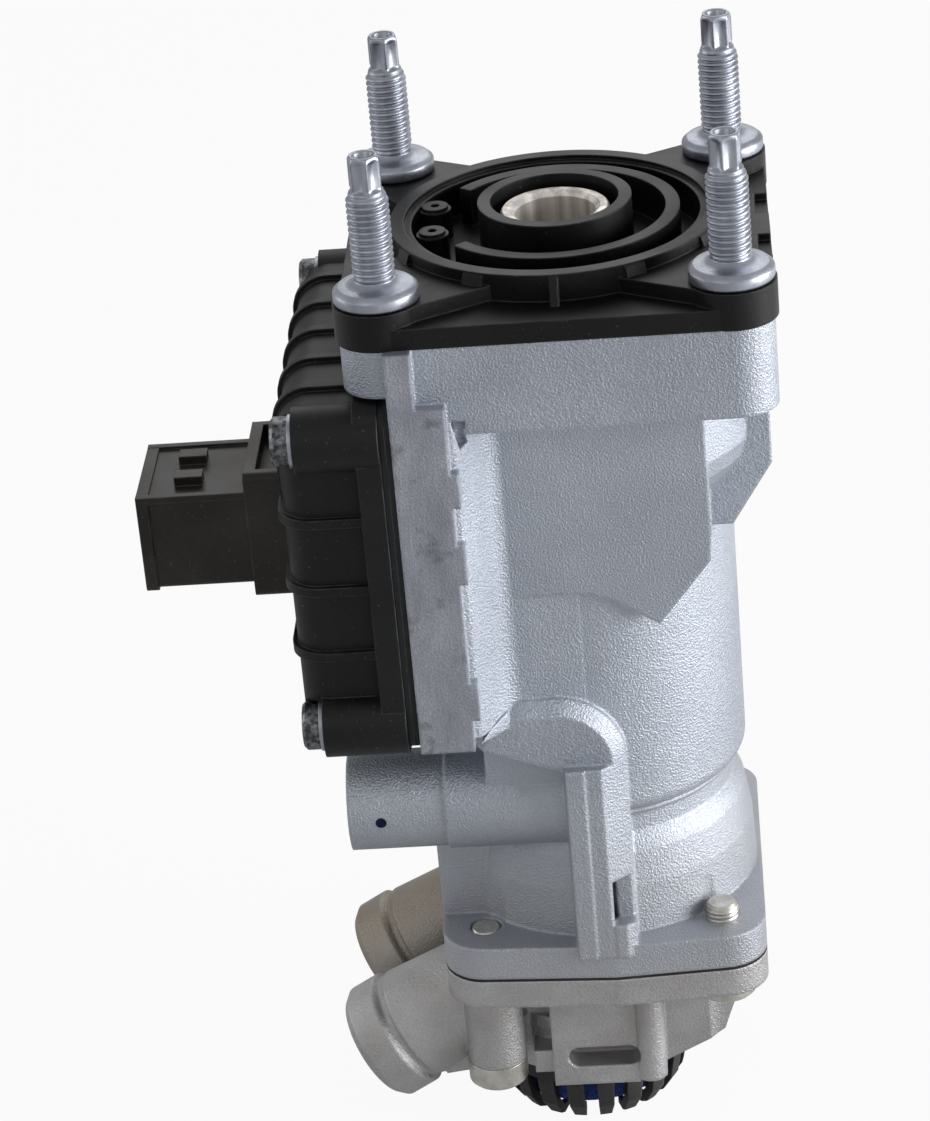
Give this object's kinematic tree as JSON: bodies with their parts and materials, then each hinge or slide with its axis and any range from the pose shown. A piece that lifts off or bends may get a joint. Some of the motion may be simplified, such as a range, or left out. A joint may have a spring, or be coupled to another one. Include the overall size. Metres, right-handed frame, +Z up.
{
  "type": "foot brake valve",
  "caption": "Foot brake valve: stud-mounted adapter over a cast body with stacked pistons and seat valves, side electronics cover with connector, tilted air ports and a silencer below.",
  "frame": {"origin": "centre of the square of mounting studs, on the upper faces of their collars, where the pedal plate rests", "axes": "+Z up along the studs, away from the valve; -X towards the electronics cover and its connector; -Y is the front, with the air duct"},
  "size_m": [0.159, 0.1253, 0.2792],
  "materials": {
    "cast_aluminium": "die cast, sandy grain",
    "lower_cast_aluminium": "die cast, warmer grey",
    "black_polyamide": "moulded, semi-matt",
    "carrier_polyamide": "moulded, matt",
    "connector_polyamide": "moulded, semi-matt",
    "zinc_plated_steel": "zinc plated",
    "turned_steel": "turned and polished",
    "plunger_aluminium": "turned and anodised",
    "spring_steel": "drawn wire",
    "seal_rubber": "moulded rubber",
    "valve_rubber": "rubber on a steel core",
    "brass": "turned",
    "circuit_board": "solder mask",
    "coil_copper": "enamelled wire",
    "sledge_plastic": "moulded",
    "blue_filter": "felt"
  },
  "bodies": {
    "valve_housing": {"mounting_studs": "zinc_plated_steel", "mounting_adapter": "black_polyamide", "guide_bush": "turned_steel", "upper_housing": "cast_aluminium", "cross_bore_plug": "zinc_plated_steel", "cover_gasket": "seal_rubber", "seal_carrier": "carrier_polyamide", "electronics_cover": "black_polyamide", "connector_housing": "connector_polyamide", "connector_pins": "brass", "cover_screws": "zinc_plated_steel", "cover_washers": "zinc_plated_steel", "sensor_board": "circuit_board", "sensor_coils": "coil_copper", "graduating_spring": "spring_steel", "plunger_return_spring": "spring_steel", "reaction_return_spring": "spring_steel", "upper_valve_spring": "spring_steel", "upper_valve_guide": "brass", "upper_guide_seal": "seal_rubber", "upper_circlip": "spring_steel", "relay_return_spring": "spring_steel", "lower_gasket": "seal_rubber", "lower_housing": "lower_cast_aluminium", "lower_valve_spring": "spring_steel", "lower_valve_guide": "brass", "lower_guide_seal": "seal_rubber", "lower_circlip": "spring_steel", "long_bolts": "zinc_plated_steel", "short_bolt": "zinc_plated_steel", "silencer_cage": "black_polyamide", "silencer_filter": "blue_filter"},
    "plunger_group": {"plunger": "plunger_aluminium", "sensor_sledge": "sledge_plastic"},
    "reaction_group": {"reaction_piston": "plunger_aluminium", "reaction_piston_seal": "seal_rubber"},
    "upper_valve_group": {"upper_valve": "valve_rubber"},
    "relay_group": {"relay_piston": "plunger_aluminium", "relay_piston_seal": "seal_rubber"},
    "lower_valve_group": {"lower_valve": "valve_rubber"}
  },
  "joints": [
    {"name": "plunger_slide", "type": "slide", "parent": "valve_housing", "child": "plunger_group", "axis": [0, 0, -1], "range_m": [0, 0.014], "stiffness_N_per_m": 20000, "springref_m": -0.003, "deforming": ["graduating_spring", "plunger_return_spring"]},
    {"name": "reaction_slide", "type": "slide", "parent": "valve_housing", "child": "reaction_group", "axis": [0, 0, -1], "range_m": [0, 0.005], "deforming": ["reaction_return_spring"]},
    {"name": "upper_valve_slide", "type": "slide", "parent": "valve_housing", "child": "upper_valve_group", "axis": [0, 0, -1], "range_m": [0, 0.0035], "deforming": ["upper_valve_spring"]},
    {"name": "relay_slide", "type": "slide", "parent": "valve_housing", "child": "relay_group", "axis": [0, 0, -1], "range_m": [0, 0.004], "deforming": ["relay_return_spring"]},
    {"name": "lower_valve_slide", "type": "slide", "parent": "valve_housing", "child": "lower_valve_group", "axis": [0, 0, -1], "range_m": [0, 0.0028], "deforming": ["lower_valve_spring"]}
  ],
  "couplings": [
    {"joint": "reaction_slide", "follows": "plunger_slide", "ratio": 0.35714},
    {"joint": "upper_valve_slide", "follows": "plunger_slide", "ratio": 0.25},
    {"joint": "relay_slide", "follows": "plunger_slide", "ratio": 0.28571},
    {"joint": "lower_valve_slide", "follows": "plunger_slide", "ratio": 0.2}
  ]
}
